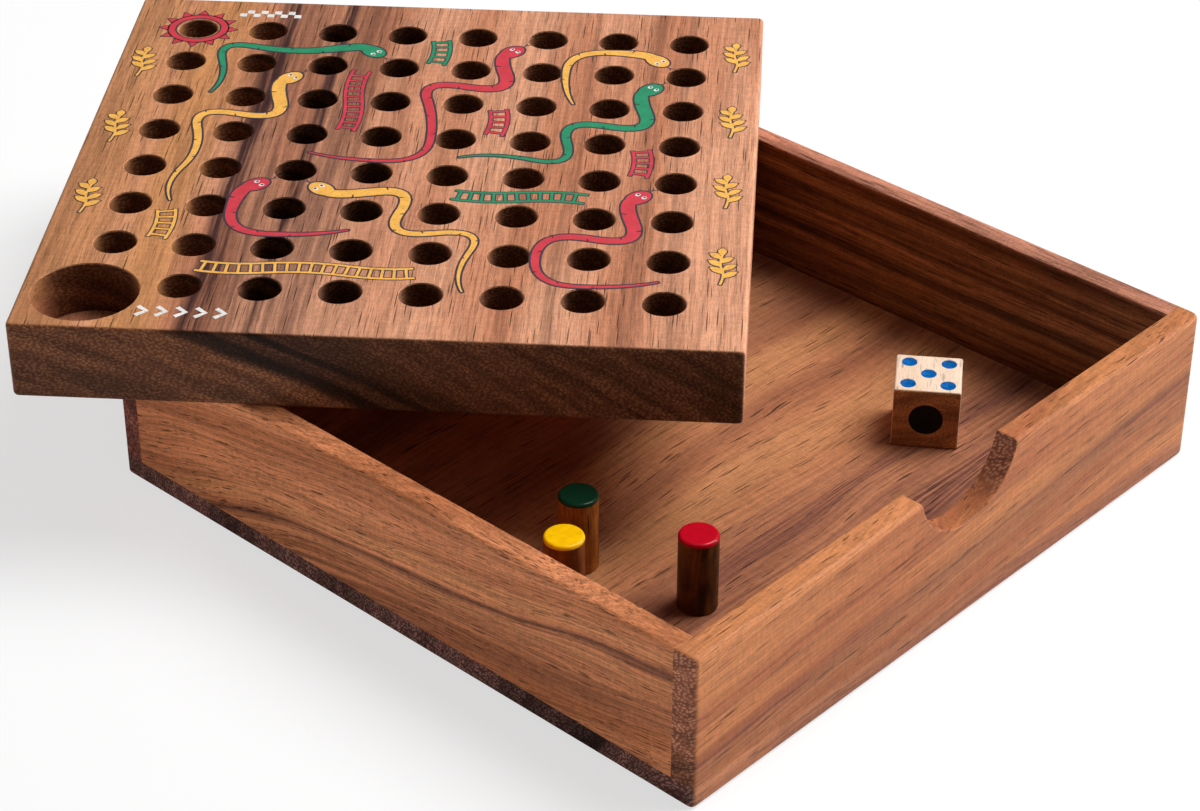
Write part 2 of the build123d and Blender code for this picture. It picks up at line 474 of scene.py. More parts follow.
    def _surface(self, tree: NodeTree, timber: Source, fibre: Source, pore: Source) -> None:
        """Lays the satin lacquer over the colour: fibres just felt, pores left open.

        Args:
            tree: the material's node tree.
            timber: the wood's colour.
            fibre: the fibres.
            pore: the share of open pore.
        """
        relief = add_node(tree, "Math", TIMES_PLUS, (pore, -1.5, fibre))
        bump = add_node(tree, "Bump", {}, {"Height": relief, "Strength": 0.3, "Distance": 0.1 * MM})
        glossiest, dullest = self.roughness - 0.06, self.roughness + 0.08
        dull = add_node(tree, "MapRange", SMOOTH, (fibre, NOISE_LOW, NOISE_HIGH, glossiest, dullest))
        look = {"Base Color": timber, "Roughness": dull, "Normal": bump, "Specular IOR Level": 0.12}
        add_node(tree, "OutputMaterial", {}, {"Surface": add_node(tree, "BsdfPrincipled", {}, look)})


@dataclass(frozen=True)
class EnamelFinish:
    """Brushed or dipped enamel paint: an even strong colour, wet gloss and a faint wave where it flowed."""

    name: str
    colour: str
    roughness: float = 0.35
    wave_mm: float = 1.6
    gloss: float = 0.15
    mottle: float = 0.1
    specular: float = 0.15

    def material(self) -> Material:
        """Builds the node material.

        Returns:
            The material.
        """
        material, tree = new_material(self.name)
        place = add_node(tree, "TexCoord").outputs["Object"]
        tones = (1 - self.mottle, 1 + 0.7 * self.mottle)
        flow, colour = mottled(tree, place, self.colour, 1 / self.wave_mm, tones)
        bump = add_node(tree, "Bump", {}, {"Height": flow, "Strength": 0.25, "Distance": 0.15 * MM})
        look = {
            "Base Color": colour, "Roughness": self.roughness, "Normal": bump,
            "Specular IOR Level": self.specular, "Coat Weight": self.gloss, "Coat Roughness": 0.1,
        }
        add_node(tree, "OutputMaterial", {}, {"Surface": add_node(tree, "BsdfPrincipled", {}, look)})
        return material


@dataclass(frozen=True)
class InkFinish:
    """Screen printing ink on sanded wood: flat, matt, opaque and a little uneven, with gaps over the pores.

    The gaps are drawn half a millimetre wide, so that they show.
    """

    name: str
    colour: str
    bare: str = "6b4030"
    grit_per_mm: float = 2.2
    patches_per_mm: float = 0.35

    def material(self) -> Material:
        """Builds the node material.

        Returns:
            The material.
        """
        material, tree = new_material(self.name)
        place = add_node(tree, "TexCoord").outputs["Object"]
        fine = {"Vector": place, "Scale": self.grit_per_mm * PER_MM, "Detail": 2.0}
        grit = add_node(tree, "TexNoise", {}, fine)
        gaps = add_node(tree, "MapRange", SMOOTH, (grit, 0.3, 0.42, 0.5, 0.0))
        colour = mottled(tree, place, self.colour, self.patches_per_mm, (0.86, 1.08))[1]
        worn = add_node(tree, "Mix", COLOUR, {0: gaps, MIX_A: colour, MIX_B: hex_colour(self.bare)})
        bump = add_node(tree, "Bump", {}, {"Height": grit, "Strength": 0.2, "Distance": 0.05 * MM})
        look = {"Base Color": worn.outputs[MIX_OUT], "Roughness": 0.5, "Normal": bump}
        add_node(tree, "OutputMaterial", {}, {"Surface": add_node(tree, "BsdfPrincipled", {}, look)})
        return material


@dataclass
class WoodenBox:
    """The open box: a full size bottom panel and four butt-jointed walls, each cut from its own board."""

    half_mm: float = 75.0
    wall_mm: float = 5.0
    middle_height_mm: float = 18.6

    def build(self) -> list[str]:
        """Dresses the five panels.

        Returns:
            The names of the pieces dressed.
        """
        finishes = self._finishes()
        for name, finish in finishes.items():
            dress(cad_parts[name], finish.material())
        return list(finishes)

    def _finishes(self) -> dict[str, WoodFinish]:
        """Chooses the finish of each panel, with grain along the panel's length.

        Returns:
            The finish of each node.
        """
        along_x, along_y = Vector(RowAxis.ALONG_X.value), Vector(RowAxis.ALONG_Y.value)
        off, height = self.half_mm - self.wall_mm / 2, self.middle_height_mm
        front = WoodFinish(
            "rain_tree_front_wall", "c57f4f", "aa6440", "6a4034",
            Vector((1, 0, 0.07)), Vector((0, 0.3, 0.95)), Vector((0, -off, height)),
            seed_mm=310.0, tone_mm=6.0, wander_mm=2.0,
            end_dark="814a35", end_fleck="cc8f6e", fleck_gap_mm=0.55,
            streaks=(
                Streak(-5.0, 1.8, 0.7), Streak(-6.4, 7.0, 0.55), Streak(-14.0, 3.6, 0.5),
                Streak(-10.5, 5.0, 0.3), Streak(2.0, 0.8, 0.4), Streak(4.2, 0.6, 0.3),
            ),
            # The first pale zone is painted light on the top face; the second lightens the upper front face
            pale="ce8555", pale_and_lit_zones=(Streak(16.5, 8.0, 1.0), Streak(8.5, 7.0, 0.35)),
        )
        back = WoodFinish(
            "rain_tree_back_wall", "a86c44", "8a5433", "50291c",
            along_x, Vector((0, -0.4, 0.9)), Vector((0, off, height)),
            seed_mm=-120.0, streaks=(Streak(3.0, 5.0, 0.5), Streak(-6.0, 2.0, 0.4)),
        )
        left = WoodFinish(
            "rain_tree_left_wall", "d88a5d", "b87048", "60382c",
            Vector((0, -1, 0.17)), Vector((0.25, 0, 0.95)), Vector((-off, 0, height)),
            seed_mm=40.0, contrast=0.27, short_pores=0.75, pore_length_mm=9.0,
            streaks=(
                Streak(-4.6, 1.8, 0.85), Streak(-8.0, 5.0, 0.3), Streak(-11.0, 1.6, 0.55),
                Streak(-14.5, 5.0, 0.5),
            ),
            pale="dc9562", pale_and_lit_zones=(Streak(-1.5, 3.0, 0.5), Streak(-6.8, 1.6, 0.5)),
        )
        # Painted shade: the right wall's light, middle and dark tones are darker than its wood, standing in
        # for the shade on its inner face
        right = WoodFinish(
            "rain_tree_right_wall", "a46c42", "6f4022", "3a1d0d",
            along_y, Vector((0, 0, 1)), Vector((off, 0, height)),
            seed_mm=-260.0, contrast=0.35, tone_mm=3.5, short_pores=0.6, wander_mm=0.8,
            streaks=(
                Streak(-2.0, 3.0, 0.8), Streak(3.5, 1.5, 0.7), Streak(7.5, 2.0, 0.7), Streak(-9.0, 4.0, 0.5),
            ),
            # The pale zone along the top edge is painted light on the lit top
            pale="b67a62", pale_and_lit_zones=(Streak(14.2, 2.4, 1.0),),
        )
        bottom = WoodFinish(
            "rain_tree_bottom_panel", "c4835a", "a76a49", "683c38",
            along_x, Vector((0, 0.97, 0.24)), Vector((0, 0, 0)),
            seed_mm=170.0, tone_mm=13.0, end_dark="5a3632", end_fleck="a87e70",
            # The wide faint bands at 14 and 42 are painted shade, darkening the floor towards and under the
            # board. The deep band at -47 darkens the floor along the front wall
            streaks=(
                Streak(-36.5, 8.0, 0.8), Streak(-47.0, 9.0, 0.95), Streak(-76.0, 18.0, 0.85),
                Streak(-31.0, 5.0, 0.45), Streak(-8.0, 4.0, 0.25), Streak(14.0, 14.0, 0.4),
                Streak(42.0, 14.0, 0.6), Streak(-41.6, 6.0, 0.6),
            ),
            pale="d09460", pale_and_lit_zones=(Streak(-19.0, 12.0, 0.38), Streak(2.0, 9.0, 0.35)),
        )
        return {
            "front_wall": front, "back_wall": back, "left_wall": left, "right_wall": right,
            "bottom_panel": bottom,
        }


@dataclass
class GameBoard:
    """The thick board with its grid of peg holes."""

    body: str = "board"
    centre_mm: Pair = (-5.9, 61.4)
    turn_degrees: float = -51.05
    pitch_mm: float = 15.25
    shift_mm: Pair = (-0.6, 0.7)
    holes_a_side: int = 8

    def placing(self) -> Matrix:
        """Finds the board's place.

        Returns:
            The matrix that turns millimetres on its top face, about its middle, into the row frame.
        """
        turn = Matrix.Rotation(radians(self.turn_degrees), 4, "Z")
        middle = (self.centre_mm[0] * MM, self.centre_mm[1] * MM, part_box("board")[1][2])
        return Matrix.Translation(middle) @ turn @ Matrix.Scale(MM, 4)

    def grid_place(self, column: float, row: float) -> Vector:
        """Finds a place on the hole grid.

        Args:
            column: steps to the right of the first hole.
            row: steps to the back of it.

        Returns:
            The place in millimetres about the board's middle.
        """
        middle = (self.holes_a_side - 1) / 2
        across = self.shift_mm[0] + (column - middle) * self.pitch_mm
        along = self.shift_mm[1] + (row - middle) * self.pitch_mm
        return Vector((across, along, 0.0))

    def build(self) -> list[str]:
        """Dresses the board. Its streaks run from front to back, and slant down through the thickness.

        Returns:
            The names of the pieces dressed.
        """
        turn, placing = Matrix.Rotation(radians(self.turn_degrees), 3, "Z"), self.placing()
        finish = WoodFinish(
            "rain_tree_board", "da9c7a", "c17f5e", "4b2e2b",
            turn @ Vector((0, 1, 0)), turn @ Vector((0.44, 0, 0.9)), placing.to_translation() * PER_MM,
            # The bores darken the wood inside the holes as painted shade
            seed_mm=90.0, pith_mm=400.0, wander_mm=0.8, contrast=0.2, painted_bore_shade=PaintedBoreShade(placing),
            pore_gap_mm=0.55, pore_length_mm=18.0, pore_depth=0.85,
            end_dark="54301e", end_fleck="845738", end_spread=1.7, end_pale=0.72,
            streaks=(
                Streak(-14.1, 2.2, 1.0), Streak(-12.4, 3.0, 0.6), Streak(-9.6, 1.6, 1.0),
                Streak(-10.9, 0.6, 0.5), Streak(-7.4, 4.6, 0.6), Streak(-5.8, 0.5, 0.6),
                Streak(-24.6, 3.0, 0.3), Streak(-3.0, 3.0, 0.2), Streak(11.1, 1.0, 0.35),
                Streak(15.6, 1.0, 0.35), Streak(22.7, 2.2, 0.4), Streak(26.7, 1.4, 0.35),
            ),
            pale="c88a58", pale_and_lit_zones=(Streak(-18.5, 5.0, 0.9), Streak(-25.0, 9.0, 0.75)),
        )
        dress(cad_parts["board"], finish.material())
        return ["board"]


@dataclass(frozen=True)
class PegColours:
    """The colours of a peg: its enamel and its wood's light, middle and dark tone."""

    enamel: str
    light: str
    mid: str
    dark: str


@dataclass
class Pegs:
    """Three wooden pegs with enamelled tops."""

    red: PegColours = PegColours("c0021e", "74481f", "3c1f0c", "1a0c07")
    yellow: PegColours = PegColours("ffc400", "945226", "763d1a", "3c1c0c")
    green: PegColours = PegColours("02321f", "c07430", "9c561d", "5a2f12")

    def build(self) -> list[str]:
        """Dresses the pegs and their caps.

        Returns:
            The names of the pieces dressed.
        """
        names = []
        for number, (colour, tones) in enumerate(vars(self).items()):
            rod, cap = f"{colour}_peg", f"{colour}_peg_cap"
            low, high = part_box(f"{colour}_peg")
            finish = WoodFinish(
                f"rain_tree_rod_{colour}", tones.light, tones.mid, tones.dark,
                Vector(RowAxis.UPRIGHT.value), Vector(RowAxis.ALONG_X.value),
                (Vector(low) + Vector(high)) * PER_MM / 2,
                seed_mm=50.0 * number, pith_mm=25.0, wander_mm=2.0, tone_mm=3.0, tone_length_mm=9.0,
                streaks=(Streak(-1.2, 2.0, 0.6), Streak(1.8, 1.4, 0.5)), roughness=0.4,
            )
            dress(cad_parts[rod], finish.material())
            dress(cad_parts[cap], EnamelFinish(f"enamel_{colour}", tones.enamel).material())
            names += [rod, cap]
        return names


@dataclass
class Die:
    """The pale wooden die with paint in its drilled pips."""

    turn_degrees: float = -54.2
    blue: EnamelFinish = EnamelFinish("pip_paint_blue", "0462ae", 0.5, 0.7, 0.0, 0.4, 0.05)
    black: EnamelFinish = EnamelFinish("pip_paint_black", "030304", 0.6, 0.9, 0.0)

    def build(self) -> list[str]:
        """Dresses the die and the paint in its pips.

        Returns:
            The names of the pieces dressed.
        """
        turn = Matrix.Rotation(radians(self.turn_degrees), 3, "Z")
        low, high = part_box("die")
        wood = WoodFinish(
            "pale_hardwood_die", "f6dcc4", "eed0b4", "c79a72",
            turn @ Vector((0, 1, 0)), Vector((0.2, 0, 0.97)), (Vector(low) + Vector(high)) * PER_MM / 2,
            tone_mm=2.5, contrast=0.04, ripple=0.02, roughness=0.5, streaks=(Streak(1.5, 1.0, 0.2),),
            short_pores=0.15, pore_gap_mm=1.1, pore_length_mm=8.0, pore_depth=0.5,
            end_dark="9c683f", end_fleck="bf8a5c", fleck_gap_mm=0.4,
        )
        finishes = {"die": wood, "die_blue_pips": self.blue, "die_black_pip": self.black}
        for name, finish in finishes.items():
            dress(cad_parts[name], finish.material())
        return list(finishes)


class Ink(Enum):
    """The inks of the print, one screen each, in the order in which they are laid down."""

    DARK = InkFinish("dark_outline_ink", "3a3440")
    RED = InkFinish("red_ink", "d63a48")
    YELLOW = InkFinish("yellow_ink", "fcbb55")
    GREEN = InkFinish("green_ink", "1f9266")
    WHITE = InkFinish("white_ink", "f2efeb")
    DETAIL = InkFinish("dark_detail_ink", "2f2a36")


class Step(Enum):
    """A step from one crossing of lanes between the holes to the next, in columns and rows."""

    U = (0, 1)
    D = (0, -1)
    L = (-1, 0)
    R = (1, 0)


@dataclass(frozen=True)
class Lane:
    """A way between the holes: the crossing where it starts, by the hole at its front left, and its steps."""

    column: int
    row: int
    steps: str

    def crossings(self) -> list[Vector]:
        """Lists the crossings that it passes.

        Returns:
            Their places, in steps of the hole grid.
        """
        places = [Vector((self.column + 0.5, self.row + 0.5, 0.0))]
        for letter in self.steps:
            places.append(places[-1] + Vector((*Step[letter].value, 0)))
        return places


@dataclass(frozen=True)
class Snake:
    """A plain banded snake: an oval head at the start of its way and a body that tapers to its tail."""

    ink: Ink
    lane: Lane


@dataclass(frozen=True)
class Ladder:
    """A ladder along its way, which reaches a share of a step past the crossings at its ends."""

    ink: Ink
    lane: Lane
    reach: float = 0.36


def smooth_line(points: list[Vector], closed: bool = False) -> list[Vector]:
    """Reads the smooth line that a few control points give.

    Args:
        points: the control points.
        closed: whether the line runs round to its start.

    Returns:
        Points along the line, closely spaced.
    """
    curve = bpy.data.curves.new("line", "CURVE")
    curve.dimensions = "3D"
    curve.resolution_u = 8
    spline = curve.splines.new("NURBS")
    spline.points.add(len(points) - 1)
    for control, point in zip(spline.points, points):
        control.co = (*point, 1.0)
    spline.order_u = 3
    spline.use_endpoint_u = not closed
    spline.use_cyclic_u = closed
    holder = bpy.data.objects.new("line", curve)
    mesh = bpy.data.meshes.new_from_object(holder)
    line = [vertex.co.copy() for vertex in mesh.vertices]
    bpy.data.objects.remove(holder)
    bpy.data.curves.remove(curve)
    bpy.data.meshes.remove(mesh)
    return line + line[:1] if closed else line


def heading(line: list[Vector], number: int) -> Vector:
    """The direction of a line at one of its points.

    Args:
        line: points along the line.
        number: which point.

    Returns:
        The direction, of length 1.
    """
    return (line[min(number + 1, len(line) - 1)] - line[max(number - 1, 0)]).normalized()


def to_the_left(ahead: Vector) -> Vector:
    """A flat direction turned a quarter to the left."""
    return Vector((-ahead.y, ahead.x, 0))


def faces_of(verts: list[bmesh.types.BMVert]) -> list[bmesh.types.BMFace]:
    """Every face at some vertices, each once."""
    return list(dict.fromkeys(face for vert in verts for face in vert.link_faces))


@dataclass
class PrintedGame:
    """The game printed on a board: snakes and ladders between the holes, and small marks in the margins.

    All sizes are in millimetres on the board's top face. Each ink is one piece, as each is one pass of the
    screen.
    """

    board: GameBoard
    snakes: tuple[Snake, ...] = (
        Snake(Ink.RED, Lane(4, 6, "DLDDL")),
        Snake(Ink.YELLOW, Lane(1, 5, "DLDD")),
        Snake(Ink.GREEN, Lane(6, 5, "DLDL")),
        Snake(Ink.YELLOW, Lane(2, 2, "RDRD")),
        Snake(Ink.GREEN, Lane(2, 6, "LLD")),
        Snake(Ink.RED, Lane(6, 2, "DLDR")),
        Snake(Ink.YELLOW, Lane(6, 6, "LD")),
        Snake(Ink.RED, Lane(1, 2, "DR")),
    )
    ladders: tuple[Ladder, ...] = (
        Ladder(Ink.YELLOW, Lane(1, 0, "RR")),
        Ladder(Ink.RED, Lane(2, 4, "U")),
        Ladder(Ink.GREEN, Lane(4, 2, "R")),
        Ladder(Ink.RED, Lane(6, 3, "")),
        Ladder(Ink.GREEN, Lane(3, 6, "")),
        Ladder(Ink.RED, Lane(4, 4, "")),
        Ladder(Ink.YELLOW, Lane(0, 1, "")),
    )
    body_half: float = 1.45
    tail_half: float = 0.15
    taper: float = 2.2
    outline: float = 0.42
    wave: float = 0.17
    neck_reach: float = 0.05
    tail_reach: float = 0.4
    head_ahead: float = 0.8
    head_size: Pair = (3.0, 2.1)
    eye_place: Pair = (0.8, 0.85)
    eye_size: Pair = (0.6, 0.5)
    pupil_ahead: float = 0.15
    pupil_size: Pair = (0.3, 0.28)
    first_band: int = 7
    band_step: int = 4
    banded_share: float = 0.86
    ladder_wave: float = 0.08
    rail_half: float = 0.32
    rail_gap: float = 1.75
    rail_outline: float = 0.26
    rung_gap: float = 2.3
    rung_half: float = 0.28
    rung_dark_half: float = 0.55
    rung_reach: float = 0.86
    margin_x: Pair = (-63.2, 62.9)
    sprig_rows: tuple[tuple[float, ...], tuple[float, ...]] = ((1.7, 3.6, 5.5), (0.5, 2.4, 4.3, 6.2))
    sprig_bends: tuple[Pair, ...] = ((0, 0), (0.9, 3.8), (-0.5, 7.6), (0.2, 11.2))
    stem_half: float = 0.24
    leaves: int = 7
    leaf_half: float = 0.78
    leaf_length: float = 3.8
    leaf_outline: float = 0.28
    fine_outline: float = 0.3
    ring_radius: float = 5.9
    ring_half: float = 0.68
    ring_dark_half: float = 1.05
    petals: int = 12
    petal_start: float = 6.7
    petal_half: float = 0.95
    start_place: Pair = (-45.0, -62.0)
    chevrons: int = 5
    chevron_gap: float = 3.7
    chevron_size: Pair = (1.8, 1.6)
    chevron_half: float = 0.5
    finish_place: Pair = (-46.0, 61.3)
    chequers: tuple[int, int] = (9, 2)
    square: float = 1.5
    forms: dict[Ink, bmesh.types.BMesh] = field(default_factory=lambda: {ink: bmesh.new() for ink in Ink})

    def build(self) -> list[str]:
        """Prints everything on the board.

        Returns:
            The names of the pieces made, one for each ink.
        """
        for snake in self.snakes:
            self._snake(snake)
        for ladder in self.ladders:
            self._ladder(ladder)
        for side, rows in zip(self.margin_x, self.sprig_rows):
            for row in rows:
                self._sprig(Vector((side, self.board.grid_place(0, row).y, 0)))
        self._rosette(self.board.grid_place(0, self.board.holes_a_side - 1))
        self._start_mark(Vector((*self.start_place, 0)))
        self._finish_mark(Vector((*self.finish_place, 0)))
        return [self._finish_piece(ink, form) for ink, form in self.forms.items()]

    def _finish_piece(self, ink: Ink, form: bmesh.types.BMesh) -> str:
        """Turns one ink's form into a piece that rides on the board.

        Args:
            ink: the ink.
            form: what is printed with it, in millimetres on the board.

        Returns:
            The piece's name.
        """
        board = self.board
        bmesh.ops.recalc_face_normals(form, faces=form.faces)
        bmesh.ops.transform(form, matrix=board.placing(), verts=form.verts)
        name = f"print_{ink.name.lower()}"
        mesh = bpy.data.meshes.new(name)
        form.to_mesh(mesh)
        form.free()
        piece = bpy.data.objects.new(name, mesh)
        bpy.context.scene.collection.objects.link(piece)
        dress(piece, ink.value.material())
        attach(piece, board.body)
        return name

    def _lay(self, ink: Ink, faces: list[bmesh.types.BMFace], lift: float) -> None:
        """Gives flat faces the thickness of a coat of ink, from just under the wood's surface.

        Args:
            ink: the ink it is printed with.
            faces: the faces, flat on the board.
            lift: the height of the coat's top over the wood.
        """
        for vert in {vert for face in faces for vert in face.verts}:
            vert.co.z = lift
        grown = bmesh.ops.extrude_face_region(self.forms[ink], geom=faces, use_keep_orig=True)
        lower = [part for part in grown["geom"] if isinstance(part, bmesh.types.BMVert)]
        bmesh.ops.translate(self.forms[ink], vec=(0, 0, -lift - UNDER_SURFACE), verts=lower)

    def _ribbon(self, ink: Ink, line: list[Vector], halves: list[float], lift: float) -> None:
        """Adds a strip of ink along a line.

        Args:
            ink: the ink it is printed with.
            line: points along its middle.
            halves: half its width at each point.
            lift: the height of its top over the wood.
        """
        form, last = self.forms[ink], len(line) - 1
        grid = bmesh.ops.create_grid(form, x_segments=last, y_segments=1, size=1.0)
        faces = faces_of(grid["verts"])
        for vert in grid["verts"]:
            step = round((vert.co.x + 1) / 2 * last)
            half = halves[step] if vert.co.y > 0 else -halves[step]
            vert.co = line[step] + to_the_left(heading(line, step)) * half
        self._lay(ink, faces, lift)

    def _outlined(
        self, ink: Ink, line: list[Vector], halves: list[float], edge: float, raised: float = 0.0
    ) -> None:
        """Adds a strip of colour on a wider dark one, which shows as its outline.

        Args:
            ink: the ink of the colour.
            line: points along its middle.
            halves: half its width at each point.
            edge: the width of the outline.
            raised: how much higher it lies than other strips.
        """
        ends = [(line[0] - line[1]).normalized() * edge, (line[-1] - line[-2]).normalized() * edge]
        longer = [line[0] + ends[0], *line, line[-1] + ends[1]]
        wider = [half + edge for half in (halves[0] - edge / 2, *halves, halves[-1] - edge / 2)]
        self._ribbon(Ink.DARK, longer, wider, DARK_LIFT + raised)
        self._ribbon(ink, line, halves, COLOUR_LIFT + raised)

    def _oval(self, ink: Ink, place: Vector, ahead: Vector, size: Pair, lift: float) -> None:
        """Adds an oval of ink.

        Args:
            ink: the ink it is printed with.
            place: its middle.
            ahead: the direction of its first size.
            size: half its length and half its width.
            lift: the height of its top over the wood.
        """
        form = self.forms[ink]
        disc = bmesh.ops.create_circle(form, cap_ends=True, segments=24, radius=1.0)
        turn = Matrix.Rotation(ahead.to_2d().angle_signed(Vector((1, 0))), 4, "Z")
        placing = Matrix.Translation(place) @ turn @ Matrix.Diagonal((*size, 1, 1))
        bmesh.ops.transform(form, matrix=placing, verts=disc["verts"])
        self._lay(ink, faces_of(disc["verts"]), lift)

    def _centre_line(self, lane: Lane, wave: float, start: float, end: float) -> list[Vector]:
        """The smooth middle line of a way, in millimetres.

        Args:
            lane: the way.
            wave: how far it swings to either side, in steps of the grid.
            start: how far it reaches back past its first crossing, in steps of the grid.
            end: how far it reaches past its last one.

        Returns:
            Points along the line.
        """
        places = lane.crossings()
        first = places[1] - places[0] if len(places) > 1 else Vector((0, 1, 0))
        last = places[-1] - places[-2] if len(places) > 1 else first
        controls = [places[0] - first * start]
        for number, place in enumerate(places):
            before = place - places[number - 1] if number else first
            after = places[number + 1] - place if number < len(places) - 1 else last
            if before == after:
                swing = to_the_left(after) * wave * (1 if number % 2 else -1)
            else:
                swing = (before - after) * wave
            controls.append(place + swing)
        controls.append(places[-1] + last * end)
        return smooth_line([self.board.grid_place(spot.x, spot.y) for spot in controls])

    def _snake(self, snake: Snake) -> None:
        """Prints a snake: its body, bands across it, its head with two eyes and a forked tongue.

        Args:
            snake: the snake.
        """
        line = self._centre_line(snake.lane, self.wave, self.neck_reach, self.tail_reach)
        halves = []
        for number in range(len(line)):
            share = number / (len(line) - 1)
            neck = 0.75 + 0.25 * sin(pi * min(1, 3 * share))
            swell = (self.body_half - self.tail_half) * (1 - share**self.taper) * neck
            halves.append(self.tail_half + swell)
        self._outlined(snake.ink, line, halves, self.outline)
        self._bands(line, halves)
        ahead = (line[0] - line[3]).normalized()
        side = to_the_left(ahead)
        head = line[0] + ahead * self.head_ahead
        long, wide = self.head_size
        rim = (long + self.outline, wide + self.outline)
        self._oval(Ink.DARK, head, ahead, rim, DARK_LIFT + STACK)
        self._oval(snake.ink, head, ahead, self.head_size, COLOUR_LIFT + STACK)
        forward, aside = self.eye_place
        for eye in (aside, -aside):
            place = head + ahead * forward + side * eye
            self._oval(Ink.WHITE, place, ahead, self.eye_size, WHITE_LIFT)
            self._oval(Ink.DETAIL, place + ahead * self.pupil_ahead, ahead, self.pupil_size, DETAIL_LIFT)
        tip = head + ahead * long
        self._ribbon(Ink.DARK, [tip, tip + ahead * 1.3], [0.14, 0.14], DARK_LIFT)
        for fork in (0.5, -0.5):
            tongue = [tip + ahead * 1.2, tip + ahead * 2.0 + side * fork]
            self._ribbon(Ink.DARK, tongue, [0.13, 0.1], DARK_LIFT + STACK)

    def _bands(self, line: list[Vector], halves: list[float]) -> None:
        """Prints short dark bars in from the flanks by turns, from the neck to where the tail gets thin.

        Args:
            line: points along the body's middle.
            halves: half its width at each point.
        """
        ends = self.first_band, int(len(line) * self.banded_share)
        for turn, number in enumerate(range(*ends, self.band_step)):
            ahead = heading(line, number)
            side = to_the_left(ahead) * halves[number]
            flank = side if turn % 2 else -side
            start = line[number] + flank
            self._ribbon(Ink.DETAIL, [start, start - flank * 0.7 + ahead * 0.3], [0.2, 0.08], DETAIL_LIFT)

    def _ladder(self, ladder: Ladder) -> None:
        """Prints a ladder: two outlined rails and evenly spaced rungs between them.

        Args:
            ladder: the ladder.
        """
        line = self._centre_line(ladder.lane, self.ladder_wave, ladder.reach, ladder.reach)
        sides = [to_the_left(heading(line, number)) * self.rail_gap for number in range(len(line))]
        for sign in (1, -1):
            rail = [place + side * sign for place, side in zip(line, sides)]
            self._outlined(ladder.ink, rail, [self.rail_half] * len(rail), self.rail_outline)
        travelled, due = 0.0, self.rung_gap / 2
        for number in range(1, len(line)):
            length = (line[number] - line[number - 1]).length
            while due <= travelled + length:
                share = (due - travelled) / length
                middle = line[number - 1].lerp(line[number], share)
                half = sides[number - 1].lerp(sides[number], share) * self.rung_reach
                rung = [middle - half, middle + half]
                self._ribbon(Ink.DARK, rung, [self.rung_dark_half] * 2, DARK_LIFT - STACK)
                self._ribbon(ladder.ink, rung, [self.rung_half] * 2, COLOUR_LIFT - STACK)
                due += self.rung_gap
            travelled += length

    def _sprig(self, foot: Vector) -> None:
        """Prints a small sprig: a curved stem, full outlined leaves by turns at its sides and one at its tip.

        Args:
            foot: where the stem starts.
        """
        stem = smooth_line([foot + Vector((*bend, 0)) for bend in self.sprig_bends])
        self._outlined(Ink.YELLOW, stem, [self.stem_half] * len(stem), self.fine_outline)
        arch = [sin(pi * number / 8) for number in range(9)]
        for leaf in range(1, self.leaves + 1):
            side = 0 if leaf == self.leaves else 1 if leaf % 2 else -1
            start = stem[int(min(0.98, 0.03 + 0.145 * leaf) * (len(stem) - 1))]
            away = Vector((side, 0.9, 0)).normalized() * (self.leaf_length - 0.12 * leaf)
            spine = [start + away * (number / 8) + Vector((0, 0.3 * arch[number], 0)) for number in range(9)]
            halves = [0.06 + self.leaf_half * rise for rise in arch]
            self._outlined(Ink.YELLOW, spine, halves, self.leaf_outline, leaf * STACK / 2)

    def _rosette(self, centre: Vector) -> None:
        """Prints a ring with short petals round the last hole.

        Args:
            centre: the middle of the hole.
        """
        turns = [Matrix.Rotation(tau * number / self.petals, 3, "Z") for number in range(self.petals)]
        ring = smooth_line([turn @ Vector((self.ring_radius, 0, 0)) + centre for turn in turns], closed=True)
        self._ribbon(Ink.DARK, ring, [self.ring_dark_half] * len(ring), DARK_LIFT)
        self._ribbon(Ink.RED, ring, [self.ring_half] * len(ring), COLOUR_LIFT)
        halves = [self.petal_half * (1 - 0.19 * step) for step in range(6)]
        for turn in turns:
            out = turn @ Vector((1, 0, 0))
            petal = [centre + out * (self.petal_start + 0.35 * step) for step in range(6)]
            self._outlined(Ink.RED, petal, halves, self.fine_outline)

    def _start_mark(self, place: Vector) -> None:
        """Prints white chevrons that point away from the start well.

        Args:
            place: the middle of the open side of the first.
        """
        long, wide = self.chevron_size
        for number in range(self.chevrons):
            corner = place + Vector((self.chevron_gap * number, 0, 0))
            chevron = [corner + Vector(bend) for bend in ((0, wide, 0), (long, 0, 0), (0, -wide, 0))]
            self._ribbon(Ink.WHITE, chevron, [self.chevron_half] * 3, WHITE_LIFT)

    def _finish_mark(self, place: Vector) -> None:
        """Prints a short chequered strip beside the last hole.

        Args:
            place: the middle of the first square's left side.
        """
        columns, rows = self.chequers
        for column in range(columns):
            for row in range(rows):
                if (column + row) % 2 == 0:
                    start = place + Vector((self.square * column, self.square * row, 0))
                    across = [start, start + Vector((self.square, 0, 0))]
                    self._ribbon(Ink.WHITE, across, [self.square / 2] * 2, WHITE_LIFT)


@dataclass(frozen=True)
class SoftBox:
    """A square soft lamp: where it is, what it points at and how wide it is in metres, and its watts."""

    name: str
    place: Triple
    target: Triple
    side: float
    watts: float

    def hang(self) -> None:
        """Hangs the lamp."""
        lamp = bpy.data.lights.new(self.name, "AREA")
        lamp.shape = "SQUARE"
        lamp.size = self.side
        lamp.energy = self.watts
        holder = bpy.data.objects.new(self.name, lamp)
        holder.location = self.place
        holder.rotation_mode = "QUATERNION"
        holder.rotation_quaternion = (Vector(self.target) - Vector(self.place)).to_track_quat("-Z", "Y")
        bpy.context.scene.collection.objects.link(holder)


